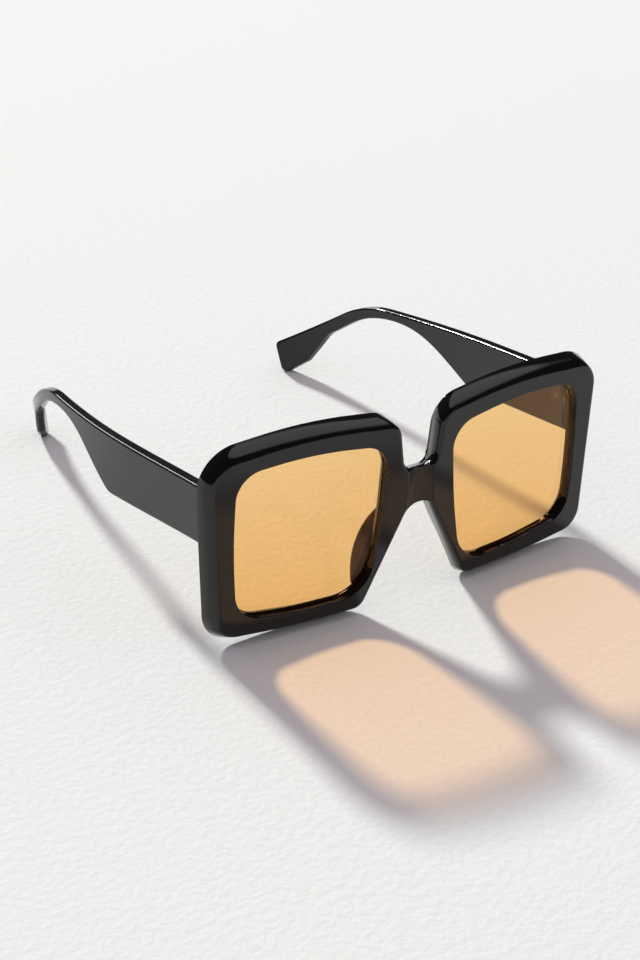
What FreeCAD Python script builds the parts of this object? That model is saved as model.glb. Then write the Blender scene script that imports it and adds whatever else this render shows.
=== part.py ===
import FreeCAD, Part
import math
import os
from FreeCAD import Vector

# Oversized square sunglasses, standing open on a flat surface. Sizes are in millimetres.
# +Z is up, the front faces -Y and X = 0 is the plane of symmetry. Left is the wearer's left, at +X.
# The front is drawn flat for one side, as u out from the middle, v up and w back from the front face.

# Lens opening, one side: its nasal top corner's distance from the middle, and how its sides lean and rise
opening_nasal = 11.6
opening_width = 50.7
opening_nasal_lean = 5.8
opening_outer_lean = 0.2
opening_foot = 6.2
opening_height = 48.8
opening_top_rise = 1.5
opening_foot_rise = 3.0
opening_crown = 1.3
opening_bow = 0.6
opening_corner = 8.0
opening_corner_nasal_foot = 10.8
opening_edge_round = 0.35
opening_rear_chamfer = 1.6
chamfer_land_share = 0.8

# Flat face round the opening, its ridge, and the bevel that runs from the ridge back to the widest line
face_top = 4.2
face_top_nasal = 5.8
face_outer_top = 8.2
face_outer_foot = 5.5
face_foot_outer = 5.1
face_foot_nasal = 3.8
face_foot_nasal_lead = 1.8
ridge_crown = 1.6
ridge_sag = 0.7
ridge_corner_outer_top = 7.5
ridge_corner_outer_foot = 6.0
ridge_corner_nasal_top = 3.6
ridge_corner_nasal_foot = 2.6
ridge_round = 1.35
rim_corner_outer_top = 13.0
rim_corner_outer_foot = 9.0
rim_corner_nasal_top = 7.0
rim_corner_nasal_foot = 4.0
bevel_width = 2.9
bevel_depth = 5.4
front_depth = 6.6
rear_chamfer = 1.4
top_crown_trim = 15.0
foot_sag_trim = 13.0

# Bridge between the rims, and the nasal edges above and below it
bridge_top = 45.3
bridge_arch = 33.2
bridge_half_top = 5.5
bridge_half_arch = 3.5
bridge_saddle_trim = 3.6
bridge_arch_trim = 3.3
bridge_top_fall = 1.4
nasal_top_lead = 4.0
nasal_splay = 1.2
bridge_hollow_half = 6.0
bridge_hollow_depth = 1.2

# How the front stands: each side swept back from the middle, the top leaning back
wrap_angle = 4.5
lean_angle = 2.4

# Lens, a thin shell of a large sphere held in a groove round the opening
lens_thickness = 1.8
lens_radius = 380.0
lens_set_back = 1.1
lens_grip = 0.7
groove_clearance = 0.05
groove_gap = 0.2

# Nose pad on the back of the nasal rim
pad_height = 26.5
pad_foot = 6.5
pad_reach = 5.0
pad_thickness = 3.2
pad_edge_inset = 0.5
pad_flare = 1.6
pad_round = 1.1

# Temple in side view, measured back from the seam and up from the table
temple_drop = 2.9
temple_height = 18.6
temple_inset = 1.4
temple_blade_length = 56.4
temple_kink_height = 19.0
temple_kink_round = 7.0
temple_neck_length = 50.2
temple_neck = 5.4
temple_bend_height = 35.6
temple_bend_trim = 11.0
temple_tip_length = 33.0
temple_tip_top = 9.4
temple_tip_slope = 5.0
temple_toe_dip = 1.25
temple_heel_length = 7.2
temple_heel_width = 10.4
temple_tail = 4.6
temple_flare_length = 13.0
temple_flare_round = 12.0
temple_corner = 1.8
temple_edge_round = 0.7

# Temple from above: how far its outer face comes in, and its thickness
temple_flat = 12.0
temple_kink_in = 0.7
temple_bend_in = 6.8
temple_tip_in = 22.2
temple_thickness = 4.0
temple_bend_thickness = 3.5
temple_tip_thickness = 3.3
temple_twist_share = 0.05
temple_tuck_share = 0.3
temple_crest_share = 0.54
temple_crest_depth_share = 0.82

# Hinge at the back of the rim: a leaf on the front, a leaf on the temple, three knuckles and a screw
seam_gap = 0.15
hinge_height = 9.0
knuckle_radius = 1.5
knuckle_gap = 0.1
knuckle_clearance = 0.25
front_leaf_width = 3.6
front_leaf_height = 17.0
front_leaf_thickness = 0.9
temple_leaf_length = 8.0
temple_leaf_height = 7.6
temple_leaf_thickness = 0.8
recess_clearance = 0.35
pin_radius = 0.55
pin_clearance = 0.05
pin_head_radius = 1.1
pin_head_height = 0.7
leaf_corner = 0.8
leaf_screw_radius = 0.6
leaf_screw_head_radius = 1.05
leaf_screw_head_height = 0.5
leaf_screw_length = 3.2

# Stiffening wire inside the temple
wire_radius = 0.5
wire_start = 19.0
wire_bend_trim = 3.5

# Cuts run past the solid by this much
overrun = 2.0

X_AXIS = Vector(1, 0, 0)
Y_AXIS = Vector(0, 1, 0)
Z_AXIS = Vector(0, 0, 1)
ORIGIN = Vector(0, 0, 0)


# Outlines and small solids

def bend_arc(before, point, after, trim):
    """Arc tangent to both sides of a corner, starting and ending trim away from it."""
    into = (before - point).normalize()
    out = (after - point).normalize()
    half = into.getAngle(out) / 2
    reach = trim / math.cos(half) - trim * math.tan(half)
    middle = point + (into + out).normalize() * reach
    return Part.Arc(point + into * trim, middle, point + out * trim).toShape()


def rounded(corners, spot):
    """Closed wire through (a, b, trim) corners. A corner with no trim stays sharp."""
    points = [spot(a, b) for a, b, trim in corners]
    trims = [trim for a, b, trim in corners]
    edges = []
    for i, point in enumerate(points):
        after = points[(i + 1) % len(points)]
        way = (after - point).normalize()
        if trims[i] > 0:
            edges.append(bend_arc(points[i - 1], point, after, trims[i]))
        edges.append(Part.makeLine(point + way * trims[i], after - way * trims[(i + 1) % len(points)]))
    return Part.Wire(edges)


def slab(x0, x1, y0, y1, z0, z1):
    """Box between two corners."""
    return Part.makeBox(x1 - x0, y1 - y0, z1 - z0, Vector(x0, y0, z0))


def mirrored(shape):
    """The same piece on the other side of the plane of symmetry."""
    return shape.mirror(ORIGIN, X_AXIS)


def between(a, b, share):
    """Value that lies the given share of the way from a to b."""
    return a + (b - a) * share


# Front: outlines of one side, drawn flat

opening_nasal_foot = opening_nasal + opening_nasal_lean
opening_outer_top = opening_nasal + opening_width
opening_outer_foot = opening_outer_top - opening_outer_lean
opening_top_nasal = opening_foot + opening_height
opening_top_outer = opening_top_nasal + opening_top_rise
opening_foot_outer = opening_foot + opening_foot_rise
top_middle = (opening_nasal + opening_outer_top) / 2
foot_middle = (opening_nasal_foot + opening_outer_foot) / 2
side_middle = (opening_foot_outer + opening_top_outer) / 2
nasal_middle = (opening_foot + opening_top_nasal) / 2


def at_depth(depth):
    """Places an outline point (u, v) at a depth behind the front face."""
    return lambda u, v: Vector(u, depth, v)


def opening_outline(depth):
    """The lens opening: four sides that bow out a little and four round corners."""
    nasal = (opening_nasal + opening_nasal_foot) / 2 - 2 * opening_bow
    crown = (opening_top_nasal + opening_top_outer) / 2 + 2 * opening_crown
    outer = (opening_outer_top + opening_outer_foot) / 2 + 2 * opening_bow
    foot = (opening_foot + opening_foot_outer) / 2 - 2 * opening_bow
    rise = (opening_top_outer - opening_foot_outer) / 2 - 2 * opening_corner
    run = (opening_outer_top - opening_nasal) / 2 - 2 * opening_corner
    corners = [
        (opening_nasal, opening_top_nasal, opening_corner),
        (top_middle, crown, run + opening_corner / 2),
        (opening_outer_top, opening_top_outer, opening_corner),
        (outer, side_middle, rise + opening_corner / 2),
        (opening_outer_foot, opening_foot_outer, opening_corner),
        (foot_middle, foot, run / 2),
        (opening_nasal_foot, opening_foot, opening_corner_nasal_foot),
        (nasal, nasal_middle, rise),
    ]
    return rounded(corners, at_depth(depth))


def rim_outline(depth, grow, nasal, fall, rounds):
    """Outside of one rim with half the bridge: grown, moved out along the nose, lowered at the bridge."""
    nasal_top, outer_top, outer_foot, nasal_foot = rounds
    corners = [
        (-overrun, bridge_top - fall, 0.0),
        (bridge_half_top + nasal, bridge_top - fall, bridge_saddle_trim),
        (opening_nasal - nasal_top_lead + nasal, opening_top_nasal + face_top_nasal + grow, nasal_top),
        (top_middle, (opening_top_nasal + opening_top_outer) / 2 + (face_top + face_top_nasal) / 2
            + grow + 2 * ridge_crown, top_crown_trim),
        (opening_outer_top + face_outer_top + grow, opening_top_outer + face_top + grow, outer_top),
        (opening_outer_foot + face_outer_foot + grow, opening_foot_outer - face_foot_outer - grow,
            outer_foot),
        (foot_middle, (opening_foot + opening_foot_outer) / 2 - (face_foot_nasal + face_foot_outer) / 2
            - grow - 2 * ridge_sag, foot_sag_trim),
        (opening_nasal_foot + face_foot_nasal_lead + nasal, opening_foot - face_foot_nasal - grow,
            nasal_foot),
        (bridge_half_arch + nasal, bridge_arch, bridge_arch_trim),
        (-overrun, bridge_arch, 0.0),
    ]
    return rounded(corners, at_depth(depth))


def lens_shell(clearance):
    """Shell of a large sphere about the middle of the opening, thickened by a clearance on each face."""
    centre = Vector(top_middle, lens_set_back + lens_radius, side_middle)
    outer = Part.makeSphere(lens_radius + clearance, centre)
    inner = Part.makeSphere(lens_radius - lens_thickness - clearance, centre)
    span = opening_outer_top + 2 * opening_corner
    window = slab(-opening_corner, span, -overrun, front_depth + overrun, -opening_corner, span)
    return outer.common(window).cut(inner)


def grown_prism(grow):
    """Prism of the opening grown outwards by an even margin, through the whole depth of the front."""
    wire = opening_outline(-overrun)
    if grow > 0:
        wire = wire.makeOffset2D(grow)
    return Part.Face(wire).extrude(Y_AXIS * (front_depth + 2 * overrun))


def swept_back(shape):
    """Turns one flat side back from the middle of the bridge."""
    turned = shape.copy()
    turned.rotate(ORIGIN, Z_AXIS, wrap_angle)
    return turned


def leaned(shape):
    """Leans the front back at the top."""
    tilted = shape.copy()
    tilted.rotate(ORIGIN, X_AXIS, -lean_angle)
    return tilted


ridge_rounds = (ridge_corner_nasal_top, ridge_corner_outer_top, ridge_corner_outer_foot,
    ridge_corner_nasal_foot)
rim_rounds = (rim_corner_nasal_top, rim_corner_outer_top, rim_corner_outer_foot, rim_corner_nasal_foot)
rear_outline = rim_outline(front_depth, bevel_width - rear_chamfer, nasal_splay, bridge_top_fall, rim_rounds)
flat_rim = Part.makeLoft([
    rim_outline(0.0, 0.0, 0.0, 0.0, ridge_rounds),
    rim_outline(bevel_depth, bevel_width, nasal_splay * bevel_depth / front_depth, bridge_top_fall,
        rim_rounds),
    rear_outline,
], True, True)


def edges_at(shape, depth):
    """Edges that lie wholly at one depth behind the front face, away from the middle of the bridge."""
    found = []
    for edge in shape.Edges:
        box = edge.BoundBox
        level = abs(box.YMin - depth) < groove_clearance and abs(box.YMax - depth) < groove_clearance
        if level and box.XMax > -overrun / 2:
            found.append(edge)
    return found


flat_rim = flat_rim.makeFillet(ridge_round, edges_at(flat_rim, 0.0))
flat_rim = flat_rim.cut(grown_prism(0.0))
opening_zone = grown_prism(opening_edge_round)


def opening_edges(depth):
    """Edges of the lens opening at one depth."""
    return [edge for edge in edges_at(flat_rim, depth)
        if opening_zone.isInside(edge.CenterOfMass, groove_clearance, True)]


flat_rim = flat_rim.makeFillet(opening_edge_round, opening_edges(0.0))
rear_land = opening_outline(front_depth).distToShape(rear_outline)[0]
rear_opening_chamfer = min(opening_rear_chamfer, rear_land * chamfer_land_share)
flat_rim = flat_rim.makeChamfer(rear_opening_chamfer, opening_edges(front_depth))
flat_lens = grown_prism(lens_grip).common(lens_shell(0.0))
flat_rim = flat_rim.cut(grown_prism(lens_grip + groove_gap).common(lens_shell(groove_clearance)))

half_front = swept_back(flat_rim)
half_box = half_front.BoundBox
half_front = half_front.common(slab(0.0, half_box.XMax + overrun, half_box.YMin - overrun,
    half_box.YMax + overrun, half_box.ZMin - overrun, half_box.ZMax + overrun))
front = half_front.fuse(mirrored(half_front))

# The bridge is hollowed in front and behind by upright cylinders
hollow_radius = (bridge_hollow_half ** 2 + bridge_hollow_depth ** 2) / (2 * bridge_hollow_depth)
hollow_height = bridge_top + overrun
for hollow_y in (bridge_hollow_depth - hollow_radius, front_depth - bridge_hollow_depth + hollow_radius):
    hollow = Part.makeCylinder(hollow_radius, hollow_height, Vector(0, hollow_y, 0), Z_AXIS)
    near_bridge = slab(-bridge_hollow_half, bridge_hollow_half, -overrun, front_depth + overrun,
        bridge_arch - overrun, hollow_height)
    front = front.cut(hollow.common(near_bridge))
front = front.removeSplitter()

front = leaned(front)
lift = -front.optimalBoundingBox(False, False).ZMin
front.translate(Z_AXIS * lift)


def stood(shape):
    """Carries a piece drawn flat on the left side to its place on the standing front."""
    placed = leaned(swept_back(shape))
    placed.translate(Z_AXIS * lift)
    return placed


# Hinge seat: a flat across the back of the rim, square to the temple

half_width = front.optimalBoundingBox(False, False).XMax
temple_x = half_width - temple_inset
temple_inner = temple_x - temple_thickness
temple_top = opening_top_outer - temple_drop
temple_foot = temple_top - temple_height
hinge_z = temple_top - temple_height / 2
lean_back = hinge_z * math.sin(math.radians(lean_angle))
seat_y = half_width * math.sin(math.radians(wrap_angle)) + bevel_depth + lean_back
axis_x = temple_inner
axis_y = seat_y + knuckle_radius + knuckle_clearance
hinge_low = hinge_z - hinge_height / 2
hinge_high = hinge_z + hinge_height / 2
knuckle_height = (hinge_height - 2 * knuckle_gap) / 3
leaf_x0 = axis_x + knuckle_radius - front_leaf_width
leaf_x1 = axis_x + knuckle_radius
leaf_low = hinge_z - front_leaf_height / 2

seat_cut = slab(leaf_x0, half_width + overrun, seat_y, seat_y + front_depth, temple_foot - recess_clearance,
    temple_top + recess_clearance)
front = front.cut(seat_cut).cut(mirrored(seat_cut))


def front_leaf_plate():
    """Upright plate with round corners, flush in the seat."""
    spot = lambda a, b: Vector(a, seat_y - front_leaf_thickness, b)
    outline = rounded([
        (leaf_x0, leaf_low, leaf_corner),
        (leaf_x1, leaf_low, leaf_corner),
        (leaf_x1, leaf_low + front_leaf_height, leaf_corner),
        (leaf_x0, leaf_low + front_leaf_height, leaf_corner),
    ], spot)
    return Part.Face(outline).extrude(Y_AXIS * front_leaf_thickness)


def leaf_screw(root, way):
    """Small countersunk screw whose flat head lies at root and whose shank runs along way."""
    head = Part.makeCone(leaf_screw_head_radius, leaf_screw_radius, leaf_screw_head_height, root, way)
    shank = Part.makeCylinder(leaf_screw_radius, leaf_screw_length, root, way)
    return head.fuse(shank).removeSplitter()


leaf_screw_x = (leaf_x0 + leaf_x1) / 2
leaf_screw_inset = (front_leaf_height - hinge_height) / 4
front_screw_heights = (leaf_low + leaf_screw_inset, leaf_low + front_leaf_height - leaf_screw_inset)
front_screws = [leaf_screw(Vector(leaf_screw_x, seat_y, z), -Y_AXIS) for z in front_screw_heights]


def knuckle(step):
    """One of the three barrels on the hinge axis, counted from the foot."""
    foot = hinge_low + step * (knuckle_height + knuckle_gap)
    return Part.makeCylinder(knuckle_radius, knuckle_height, Vector(axis_x, axis_y, foot), Z_AXIS)


def front_knuckle(step):
    """Barrel carried by a web that stands on the front leaf."""
    foot = hinge_low + step * (knuckle_height + knuckle_gap)
    web = slab(axis_x - knuckle_radius, axis_x + knuckle_radius, seat_y - front_leaf_thickness / 2, axis_y,
        foot, foot + knuckle_height)
    return knuckle(step).fuse(web)


pin = Part.makeCylinder(pin_radius, hinge_height, Vector(axis_x, axis_y, hinge_low), Z_AXIS)
pin_hole = Part.makeCylinder(pin_radius + pin_clearance, hinge_height, Vector(axis_x, axis_y, hinge_low),
    Z_AXIS)
pin_head = Part.makeCylinder(pin_head_radius, pin_head_height, Vector(axis_x, axis_y, hinge_high), Z_AXIS)
hinge_screw = pin.fuse(pin_head).removeSplitter()

front_hinge = front_leaf_plate().fuse([front_knuckle(0), front_knuckle(2)])
for screw in front_screws:
    front_hinge = front_hinge.cut(screw)
front_hinge = front_hinge.cut(pin).removeSplitter()

front_pocket = front_leaf_plate().fuse(front_screws)
front = front.cut(front_pocket).cut(mirrored(front_pocket))

# Temple: its side view cut from a bent and slightly twisted blade

temple_end = seat_y + seam_gap
kink_y = temple_end + temple_blade_length
bend_reach = temple_blade_length + temple_neck_length
bend_y = temple_end + bend_reach
tip_y = bend_y + temple_tip_length


def side_point(y, z):
    """Point of the side view, in the plane of symmetry."""
    return Vector(0, y, z)


bend = side_point(bend_y, temple_bend_height)
tip_top = side_point(tip_y, temple_tip_top)
tip_way = (tip_top - bend).normalize()
tip_down = Vector(0, tip_way.z, -tip_way.y)
top_start = side_point(temple_end, temple_top)
top_way = (bend - top_start).normalize()
top_down = Vector(0, top_way.z, -top_way.y)
kink = top_start + top_way * temple_blade_length + top_down * temple_kink_height
crest_reach = temple_blade_length + temple_neck_length * temple_crest_share
crest = top_start + top_way * crest_reach + top_down * temple_neck * temple_crest_depth_share
neck = bend + (top_down + tip_down) * temple_neck / 2
heel = tip_top - tip_way * temple_heel_length + tip_down * temple_heel_width
heel_top = heel - tip_way * temple_flare_length - tip_down * (temple_heel_width - temple_tail)
toe = side_point(tip_y - temple_tip_slope, -temple_toe_dip)


def temple_side():
    """Side view of the temple: parallel blade, scalloped neck over the ear, flared tip with a slanted end."""
    foot_start = side_point(temple_end, temple_foot)
    scallop = Part.BSplineCurve()
    scallop.interpolate(Points=[kink, crest, neck, heel_top], InitialTangent=crest - kink,
        FinalTangent=tip_way)
    ear = bend_arc(tip_top, bend, top_start, temple_bend_trim)
    outline = Part.Wire([
        Part.makeLine(foot_start, kink),
        scallop.toShape(),
        Part.makeLine(heel_top, heel),
        Part.makeLine(heel, toe),
        Part.makeLine(toe, tip_top),
        Part.makeLine(tip_top, bend + tip_way * temple_bend_trim),
        ear,
        Part.makeLine(bend - top_way * temple_bend_trim, top_start),
        Part.makeLine(top_start, foot_start),
    ])
    side = Part.Face(outline).extrude(X_AXIS * (half_width + overrun))
    side = side.makeFillet(temple_kink_round, crossing_edges(side, [kink]))
    side = side.makeFillet(temple_flare_round, crossing_edges(side, [heel_top]))
    return side.makeFillet(temple_corner, crossing_edges(side, [heel, toe, tip_top]))


def crossing_edges(solid, spots):
    """Edges that run straight across the side view through the given points."""
    return [edge for edge in solid.Edges for spot in spots
        if edge.BoundBox.XLength > half_width
        and edge.CenterOfMass.distanceToLine(spot, X_AXIS) < groove_clearance]


stations = [
    (temple_end - overrun, 0.0, temple_thickness, temple_top, 0.0),
    (temple_end + temple_flat, 0.0, temple_thickness, temple_top, 0.0),
    (kink_y, temple_kink_in, (temple_thickness + temple_bend_thickness) / 2,
        between(temple_top, temple_bend_height, temple_blade_length / bend_reach), temple_twist_share),
    (bend_y, temple_bend_in, temple_bend_thickness, temple_bend_height, 0.0),
    (tip_y + overrun, temple_tip_in, temple_tip_thickness, temple_tip_top, -temple_tuck_share),
]


def blade_plan(height):
    """Plan of the blade at a height: outer and inner curves through the stations, leaning in with height."""
    outer = []
    inner = []
    for y, inset, thickness, level, lean_share in stations:
        x = temple_x - inset - lean_share * (height - level)
        outer.append(Vector(x, y, height))
        inner.append(Vector(x - thickness, y, height))
    curves = []
    for points in (outer, inner):
        curve = Part.BSplineCurve()
        curve.interpolate(Points=points, InitialTangent=Y_AXIS * temple_blade_length)
        curves.append(curve.toShape())
    return Part.Wire([
        curves[0],
        Part.makeLine(outer[-1], inner[-1]),
        curves[1],
        Part.makeLine(inner[0], outer[0]),
    ])


blade = Part.makeLoft([blade_plan(-overrun), blade_plan(temple_top + overrun)], True, True)
temple = blade.common(temple_side()).removeSplitter()
long_edges = [edge for edge in temple.Edges if edge.BoundBox.YMin > temple_end - groove_clearance
    and edge.BoundBox.YLength > groove_clearance]
temple = temple.makeFillet(temple_edge_round, long_edges)


def blade_middle(y, z):
    """Point half way through the blade at a place of the side view."""
    probe = Part.makeLine(Vector(0, y, z), Vector(half_width + overrun, y, z))
    return temple.common(probe).Edges[0].CenterOfMass


# Temple hinge: a leaf let into the inner face, with the middle knuckle and two screws

recess_y = axis_y + knuckle_radius + recess_clearance
recess = slab(temple_inner - overrun, axis_x + knuckle_radius + recess_clearance,
    temple_end - overrun, recess_y,
    hinge_low - recess_clearance, hinge_high + pin_head_height + recess_clearance)
temple = temple.cut(recess)


def temple_leaf_plate(rise):
    """Plate with round corners, let into the inner face of the temple and standing out of it by rise."""
    low = hinge_z - temple_leaf_height / 2
    spot = lambda a, b: Vector(temple_inner - rise, a, b)
    outline = rounded([
        (recess_y, low, leaf_corner),
        (recess_y + temple_leaf_length, low, leaf_corner),
        (recess_y + temple_leaf_length, low + temple_leaf_height, leaf_corner),
        (recess_y, low + temple_leaf_height, leaf_corner),
    ], spot)
    return Part.Face(outline).extrude(X_AXIS * (temple_leaf_thickness + rise))


temple_screw_ys = (recess_y + temple_leaf_length / 4, recess_y + temple_leaf_length * 3 / 4)
temple_screws = [leaf_screw(Vector(temple_inner, y, hinge_z), X_AXIS) for y in temple_screw_ys]
strap_low = hinge_low + knuckle_height + knuckle_gap
strap = slab(temple_inner, temple_inner + temple_leaf_thickness, axis_y, recess_y + leaf_corner, strap_low,
    strap_low + knuckle_height)
temple_hinge = temple_leaf_plate(0.0).fuse([strap, knuckle(1)])
for screw in temple_screws:
    temple_hinge = temple_hinge.cut(screw)
temple_hinge = temple_hinge.cut(pin_hole).removeSplitter()
temple = temple.cut(temple_leaf_plate(overrun).fuse(temple_screws))


# Core wire: straight runs joined by arcs, half way through the blade

def bent_wire(points, trim):
    """Round wire along straight runs joined by arcs that start trim away from each inner point."""
    edges = []
    last = points[0]
    for before, point, after in zip(points, points[1:], points[2:]):
        arc = bend_arc(before, point, after, trim)
        edges += [Part.makeLine(last, arc.valueAt(arc.FirstParameter)), arc]
        last = arc.valueAt(arc.LastParameter)
    edges.append(Part.makeLine(last, points[-1]))
    section = Part.Wire([Part.makeCircle(wire_radius, points[0], points[1] - points[0])])
    return Part.Wire(edges).makePipeShell([section], True, False)


wire_first = side_point(temple_end + wire_start, hinge_z - wire_start * temple_height / bend_reach)
wire_crest = (top_start + top_way * crest_reach + crest) / 2
ear_reach = (crest_reach + bend_reach) / 2
wire_ear = top_start + top_way * ear_reach + top_down * temple_neck * temple_crest_depth_share / 2
wire_bend = (bend + neck) / 2
wire_tail = heel_top - tip_down * temple_tail / 2
wire_last = (tip_top + heel) / 2
wire_spots = [wire_first, (wire_first + wire_crest) / 2, wire_crest, wire_ear, wire_bend, wire_tail,
    (wire_tail + wire_last) / 2, wire_last]
core_wire = bent_wire([blade_middle(spot.y, spot.z) for spot in wire_spots], wire_bend_trim)
temple = temple.cut(core_wire)


# Nose pad: a flared hump that stands on the back of the nasal rim

pad_start = at_depth(front_depth)(opening_nasal_foot + face_foot_nasal_lead + nasal_splay,
    opening_foot - face_foot_nasal - bevel_width + rear_chamfer)
pad_end = at_depth(front_depth)(bridge_half_arch + nasal_splay, bridge_arch)
pad_way = (pad_end - pad_start).normalize()
pad_out = Vector(pad_way.z, 0, -pad_way.x)


def nasal_point(height):
    """Point on the inner edge of the pad's foot, at a height above the foot of the front."""
    share = (height - pad_start.z) / (pad_end.z - pad_start.z)
    return pad_start + (pad_end - pad_start) * share + pad_out * pad_edge_inset


pad_low = nasal_point(pad_foot)
pad_high = nasal_point(pad_foot + pad_height)
pad_crest = (pad_low + pad_high) / 2 + Y_AXIS * pad_reach + pad_out * pad_flare
hump = Part.Wire([Part.Arc(pad_low, pad_crest, pad_high).toShape(), Part.makeLine(pad_high, pad_low)])
flat_pad = Part.Face(hump).extrude(pad_out * pad_thickness)
pad_edges = [edge for edge in flat_pad.Edges if edge.BoundBox.YLength > pad_reach / 2]
flat_pad = flat_pad.makeFillet(pad_round, pad_edges)

# Every piece of the left side has its mirror image on the right

left_pieces = {
    "lens": stood(flat_lens),
    "nose_pad": stood(flat_pad),
    "temple": temple,
    "front_hinge": front_hinge,
    "front_hinge_screws": Part.makeCompound(front_screws),
    "temple_hinge": temple_hinge,
    "temple_hinge_screws": Part.makeCompound(temple_screws),
    "hinge_screw": hinge_screw,
    "core_wire": core_wire,
}
pieces = {"frame_front": front}
for name, shape in left_pieces.items():
    pieces[name + "_left"] = shape
    pieces[name + "_right"] = mirrored(shape)

# The origin is on the table, under the middle of the open pair

front_y = front.optimalBoundingBox(False, False).YMin
back_y = temple.optimalBoundingBox(False, False).YMax
middle_y = (front_y + back_y) / 2

os.makedirs("parts", exist_ok=True)
for name, shape in pieces.items():
    shape.translate(-Y_AXIS * middle_y)
    shape.exportStep("parts/" + name + ".step")
    print(name, shape.isValid(), len(shape.Solids), round(shape.Volume, 2))
print("hinge axis", axis_x, axis_y - middle_y, hinge_z)
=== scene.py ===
import bpy
import math
from mathutils import Matrix, Vector

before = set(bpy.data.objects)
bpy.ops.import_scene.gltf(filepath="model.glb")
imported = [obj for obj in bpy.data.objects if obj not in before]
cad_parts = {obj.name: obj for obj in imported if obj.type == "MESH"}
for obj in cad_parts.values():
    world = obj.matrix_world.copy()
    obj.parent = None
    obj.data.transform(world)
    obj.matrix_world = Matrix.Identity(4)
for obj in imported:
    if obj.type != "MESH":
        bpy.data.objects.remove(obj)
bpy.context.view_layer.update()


# Frame front
# Both rims and the bridge are one moulding of black plastic, bevelled all round and polished until
# it reflects cleanly. The lenses snap into its grooves and a hinge is screwed to the back of each end.

class Tone:
    """One socket of a finish. Sums, differences, products and powers of tones add Math nodes."""

    def __init__(self, tree, socket=None):
        self.tree = tree
        self.socket = socket

    def node(self, kind, settings, sockets, out=0):
        """Adds any other node: its settings first, then the values or links of its sockets."""
        made = self.tree.nodes.new("ShaderNode" + kind)
        for name, value in settings.items():
            setattr(made, name, value)
        for key, value in sockets.items():
            if isinstance(value, Tone):
                self.tree.links.new(value.socket, made.inputs[key])
            else:
                made.inputs[key].default_value = value
        return Tone(self.tree, made.outputs[out])

    def maths(self, operation, first, second):
        return self.node("Math", {"operation": operation}, {0: first, 1: second})

    def __add__(self, other):
        return self.maths("ADD", self, other)

    __radd__ = __add__

    def __sub__(self, other):
        return self.maths("SUBTRACT", self, other)

    def __rsub__(self, other):
        return self.maths("SUBTRACT", other, self)

    def __mul__(self, other):
        return self.maths("MULTIPLY", self, other)

    __rmul__ = __mul__

    def __pow__(self, other):
        return self.maths("POWER", self, other)

    def along(self, direction):
        """How far this vector reaches along a fixed direction."""
        return self.node("VectorMath", {"operation": "DOT_PRODUCT"}, {0: self, 1: direction}, "Value")

    def stretch(self, factors):
        """This vector with each axis multiplied by its own factor."""
        return self.node("VectorMath", {"operation": "MULTIPLY"}, {0: self, 1: factors})

    def blend(self, low, high):
        """Colour that goes from low to high as this tone goes from 0 to 1."""
        return self.node("Mix", {"data_type": "RGBA"}, {0: self, 6: low, 7: high}, 2)

    def feed(self, shader, name):
        """Links this tone to a named socket of a shader."""
        self.tree.links.new(self.socket, shader.inputs[name])


def new_finish(name):
    """A material with one Principled shader, its place tone in metres, and that shader."""
    made = bpy.data.materials.new(name)
    made.use_nodes = True
    shader = made.node_tree.nodes["Principled BSDF"]
    place = Tone(made.node_tree).node("TexCoord", {}, {}, "Object")
    return made, place, shader


# The faces of the rims lie in two planes that meet in the middle, swept back and leaning by these
# slopes. The bevel runs back from the face over this depth, and buffing leaves it slightly crowned.
face_distance = 0.0769
face_slopes = (math.tan(math.radians(4.5)), 1.0, math.tan(math.radians(2.4)))
bevel_depth = 0.0054
bevel_crown = 0.00055

deep_black = (0.0028, 0.0026, 0.0026)
warm_black = (0.0064, 0.005, 0.0042)
hairline_grain = (2600.0, 90.0, 900.0)
ripple_height = 0.000008
plastic_index = 1.45


def polished_black(name, sheen, haze, crown=0.0, dullness=0.0):
    """Deep black plastic with a trace of warmth, polishing haze, fine hairlines and a faint ripple.

    A crown swells the bevels of the front by its height, and dullness lifts the black to grey."""
    made, place, shader = new_finish(name)
    cloud = place.node("TexNoise", {}, {"Vector": place, "Scale": 55.0, "Detail": 3.0})
    deep = tuple(part + dullness for part in deep_black) + (1.0,)
    warm = tuple(part + dullness for part in warm_black) + (1.0,)
    cloud.blend(deep, warm).feed(shader, "Base Color")
    smear = place.node("TexNoise", {}, {
        "Vector": place, "Scale": 140.0, "Detail": 5.0, "Roughness": 0.6})
    hairline = place.node("TexNoise", {}, {
        "Vector": place.stretch(hairline_grain), "Scale": 1.0, "Detail": 2.0})
    (sheen + haze * smear ** 2.0 + 0.25 * haze * hairline ** 4.0).feed(shader, "Roughness")
    ripple = place.node("TexNoise", {}, {"Vector": place, "Scale": 75.0, "Detail": 1.0})
    swell = ripple_height * ripple
    if crown:
        either_side = place.node("VectorMath", {"operation": "ABSOLUTE"}, {0: place})
        behind = face_distance - either_side.along(face_slopes)
        half_turn = place.node("MapRange", {}, {
            "Value": behind, "From Max": bevel_depth, "To Max": math.pi})
        swell = swell + crown * place.node("Math", {"operation": "SINE"}, {0: half_turn})
    place.node("Bump", {}, {
        "Strength": 1.0, "Distance": 1.0, "Height": swell}).feed(shader, "Normal")
    shader.inputs["IOR"].default_value = plastic_index
    return made


def dress(finish, *nodes):
    """Gives CAD nodes their finish."""
    for node in nodes:
        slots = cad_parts[node].data.materials
        slots.clear()
        slots.append(finish)


frame_black = polished_black("frame_black", sheen=0.02, haze=0.04, crown=bevel_crown)
dress(frame_black, "frame_front")


# Lenses
# Each lens is a thin curved pane of plastic dyed amber, a little paler at the brow, and snapped into
# the groove from behind. The dye passes about six tenths of the green and a quarter of the blue.

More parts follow.
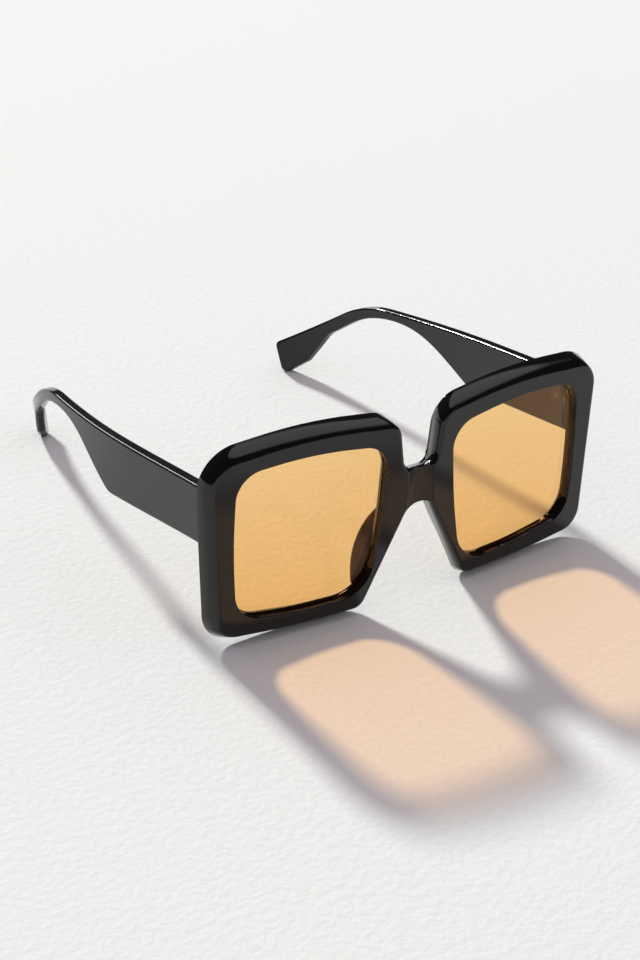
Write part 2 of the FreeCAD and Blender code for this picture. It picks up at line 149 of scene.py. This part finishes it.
lens_foot = 0.005
lens_brow = 0.06
foot_dye = (1.0, 0.575, 0.2, 1.0)
brow_dye = (1.0, 0.645, 0.285, 1.0)
mirror_tint = (0.9, 0.5, 0.3, 1.0)
lamplight_tint = (1.0, 0.775, 0.53, 1.0)
wiping_haze = 0.012
lens_index = 1.4


def dyed_lens(name):
    """Clear amber plastic that lets lamps through with its own tint."""
    made, place, shader = new_finish(name)
    height = place.node("SeparateXYZ", {}, {0: place}, "Z")
    rise = place.node("MapRange", {}, {
        "Value": height, "From Min": lens_foot, "From Max": lens_brow})
    rise.blend(foot_dye, brow_dye).feed(shader, "Base Color")
    wipe = place.node("TexNoise", {}, {"Vector": place, "Scale": 60.0, "Detail": 4.0})
    (wiping_haze * wipe ** 2.0).feed(shader, "Roughness")
    shader.inputs["Transmission Weight"].default_value = 1.0
    shader.inputs["Specular Tint"].default_value = mirror_tint
    shader.inputs["IOR"].default_value = lens_index
    pane = Tone(made.node_tree, shader.outputs[0])
    film = place.node("BsdfTransparent", {}, {"Color": lamplight_tint})
    from_lamp = place.node("LightPath", {}, {}, "Is Shadow Ray")
    from_paper = place.node("LightPath", {}, {}, "Is Diffuse Ray")
    lighting = place.node("Math", {"operation": "MINIMUM"}, {0: from_lamp + from_paper, 1: 1.0})
    surface = place.node("MixShader", {}, {0: lighting, 1: pane, 2: film})
    surface.feed(made.node_tree.nodes["Material Output"], "Surface")
    return made


dress(dyed_lens("amber_lens"), "lens_left", "lens_right")


# Nose pads
# Two small black humps moulded separately and bonded to the back of the nasal rims. They are
# tumbled but not hand polished, so they are a little duller than the front.

pad_black = polished_black("pad_black", sheen=0.16, haze=0.16, dullness=0.035)
dress(pad_black, "nose_pad_left", "nose_pad_right")


# Hinges
# Plain three-knuckle hinges, plated black: a leaf with two knuckles let into the back of the rim and
# a leaf with one knuckle let into the temple. The marks of the brushing wheel show through the plating.

hinge_colour = (0.07, 0.068, 0.066)
hinge_brushing = (400.0, 400.0, 14000.0)
brush_depth = 0.00004
tarnish_shade = 0.72


def brushed_metal(name, colour, brushing):
    """Satin metal with brush lines as fine as given on each axis, and a slight tarnish."""
    made, place, shader = new_finish(name)
    brush = place.node("TexNoise", {}, {
        "Vector": place.stretch(brushing), "Scale": 1.0, "Detail": 3.0})
    tarnish = place.node("TexNoise", {}, {"Vector": place, "Scale": 400.0, "Detail": 2.0})
    darker = tuple(tarnish_shade * part for part in colour) + (1.0,)
    (0.35 + 0.65 * tarnish).blend(darker, colour + (1.0,)).feed(shader, "Base Color")
    (0.2 + 0.2 * brush).feed(shader, "Roughness")
    place.node("Bump", {}, {
        "Strength": 0.15, "Distance": brush_depth, "Height": brush}).feed(shader, "Normal")
    shader.inputs["Metallic"].default_value = 1.0
    return made


hinge_black = brushed_metal("hinge_black", hinge_colour, hinge_brushing)
dress(hinge_black, "front_hinge_left", "front_hinge_right", "temple_hinge_left", "temple_hinge_right")


# Screws
# Two countersunk screws hold each leaf and one longer screw is the pin that the temple turns on.
# They are turned from steel and darkened, and their flat heads lie flush.

screw_colour = (0.14, 0.14, 0.14)
screw_brushing = (3000.0, 3000.0, 3000.0)
screw_steel = brushed_metal("screw_steel", screw_colour, screw_brushing)
for side in ("left", "right"):
    dress(screw_steel, "front_hinge_screws_" + side, "temple_hinge_screws_" + side, "hinge_screw_" + side)


# Temples
# Each temple is cut from the same black plastic as the front, bent over the ear and polished. Its
# long edges are rounded over, so they catch a thin line of light.

temple_black = polished_black("temple_black", sheen=0.05, haze=0.07)
dress(temple_black, "temple_left", "temple_right")


# Core wires
# A nickel silver wire is shot into the warm plastic of each temple to hold its bend. It lies wholly
# inside and shows from no side.

wire_colour = (0.6, 0.59, 0.57)
wire_drawing = (4000.0, 300.0, 4000.0)
wire_silver = brushed_metal("wire_silver", wire_colour, wire_drawing)
dress(wire_silver, "core_wire_left", "core_wire_right")


# Studio
# The pair stands open on white paper whose fine grain fades to the back, lit by a round lamp far off
# and low behind. Polished faces mirror a lit patch of ceiling and a window of the white room.

paper_reach = 4.0
paper_colour = (0.85, 0.85, 0.84, 1.0)
paper_backward = (0.58, 0.81, 0.0)
grain_depth = 0.0006
grain_near = 0.02
grain_far = 0.4

paper_mesh = bpy.data.meshes.new("paper")
paper_mesh.from_pydata(
    [(-paper_reach, -paper_reach, 0), (paper_reach, -paper_reach, 0),
     (paper_reach, paper_reach, 0), (-paper_reach, paper_reach, 0)], [], [(0, 1, 2, 3)])
paper = bpy.data.objects.new("paper", paper_mesh)
bpy.context.scene.collection.objects.link(paper)

paper_white, place, shader = new_finish("paper_white")
grain = place.node("TexNoise", {}, {
    "Vector": place, "Scale": 420.0, "Detail": 3.0, "Roughness": 0.55})
fading = place.node("MapRange", {}, {
    "Value": place.along(paper_backward), "From Min": grain_near, "From Max": grain_far,
    "To Min": 1.0, "To Max": 0.1})
place.node("Bump", {}, {
    "Strength": 0.42, "Distance": grain_depth, "Height": grain * fading}).feed(shader, "Normal")
shader.inputs["Base Color"].default_value = paper_colour
shader.inputs["Roughness"].default_value = 0.9
shader.inputs["Specular IOR Level"].default_value = 0.1
paper_mesh.materials.append(paper_white)

lamp_height = math.radians(32.0)
lamp_distance = 14.0
lamp_data = bpy.data.lights.new("key", "AREA")
lamp_data.shape = "DISK"
lamp_data.size = 1.7
lamp_data.energy = 2150.0
lamp_data.color = (0.97, 1.0, 0.94)
lamp = bpy.data.objects.new("key", lamp_data)
lamp.location = (0.0, lamp_distance * math.cos(lamp_height), lamp_distance * math.sin(lamp_height))
lamp.rotation_euler = (math.pi / 2 - lamp_height, 0.0, math.pi)
bpy.context.scene.collection.objects.link(lamp)

room_light = (1.0, 0.94, 1.02, 1.0)
room_white = (1.0, 1.0, 1.0, 1.0)
room_level = 0.465
backdrop_lift = 0.4
mirrored_walls = 0.05

# The two lit patches of the room: where each lies, how bright it is, and the cosines of the angles
# between which it fades in from its rim to its middle.
ceiling_direction = (0.39, 0.045, 0.92)
ceiling_level = 1.2
ceiling_rim = 0.885
ceiling_middle = 0.94
window_direction = (0.27, 0.86, 0.43)
window_level = 7.0
window_rim = 0.968
window_middle = 0.981

room = bpy.data.worlds.new("room")
bpy.context.scene.world = room
room.use_nodes = True
walls = room.node_tree.nodes["Background"]
ray = Tone(room.node_tree)
towards = ray.node("TexCoord", {}, {}, "Generated")
seen = ray.node("LightPath", {}, {}, "Is Camera Ray")
mirrored = ray.node("LightPath", {}, {}, "Is Glossy Ray")
ceiling = ray.node("MapRange", {"interpolation_type": "SMOOTHSTEP"}, {
    "Value": towards.along(ceiling_direction), "From Min": ceiling_rim, "From Max": ceiling_middle})
window = ray.node("MapRange", {"interpolation_type": "SMOOTHSTEP"}, {
    "Value": towards.along(window_direction), "From Min": window_rim, "From Max": window_middle})
reflected = mirrored * (mirrored_walls + ceiling_level * ceiling + window_level * window)
seen.blend(room_light, room_white).feed(walls, "Color")
(room_level * (1.0 - mirrored) + backdrop_lift * seen + reflected).feed(walls, "Strength")


# Camera
# It looks down on the pair from its right front, as in the photograph. Turn, height and roll are its
# angles about the target.

view_turn = math.radians(-35.512)
view_height = math.radians(30.014)
view_roll = math.radians(3.196)
view_distance = 0.75221
view_target = Vector((-0.0028, -0.02678, 0.0183))
back = Vector((
    math.sin(view_turn) * math.cos(view_height),
    -math.cos(view_turn) * math.cos(view_height),
    math.sin(view_height)))
level = Vector((math.cos(view_turn), math.sin(view_turn), 0.0))
upright = back.cross(level)
across = level * math.cos(view_roll) + upright * math.sin(view_roll)
up = upright * math.cos(view_roll) - level * math.sin(view_roll)
facing = Matrix((across, up, back)).transposed().to_4x4()
camera_data = bpy.data.cameras.new("camera")
camera_data.sensor_width = 36.0
camera_data.lens = 89.05
camera = bpy.data.objects.new("camera", camera_data)
camera.matrix_world = Matrix.Translation(view_target + back * view_distance) @ facing
bpy.context.scene.collection.objects.link(camera)
bpy.context.scene.camera = camera
bpy.context.scene.view_settings.view_transform = "Standard"
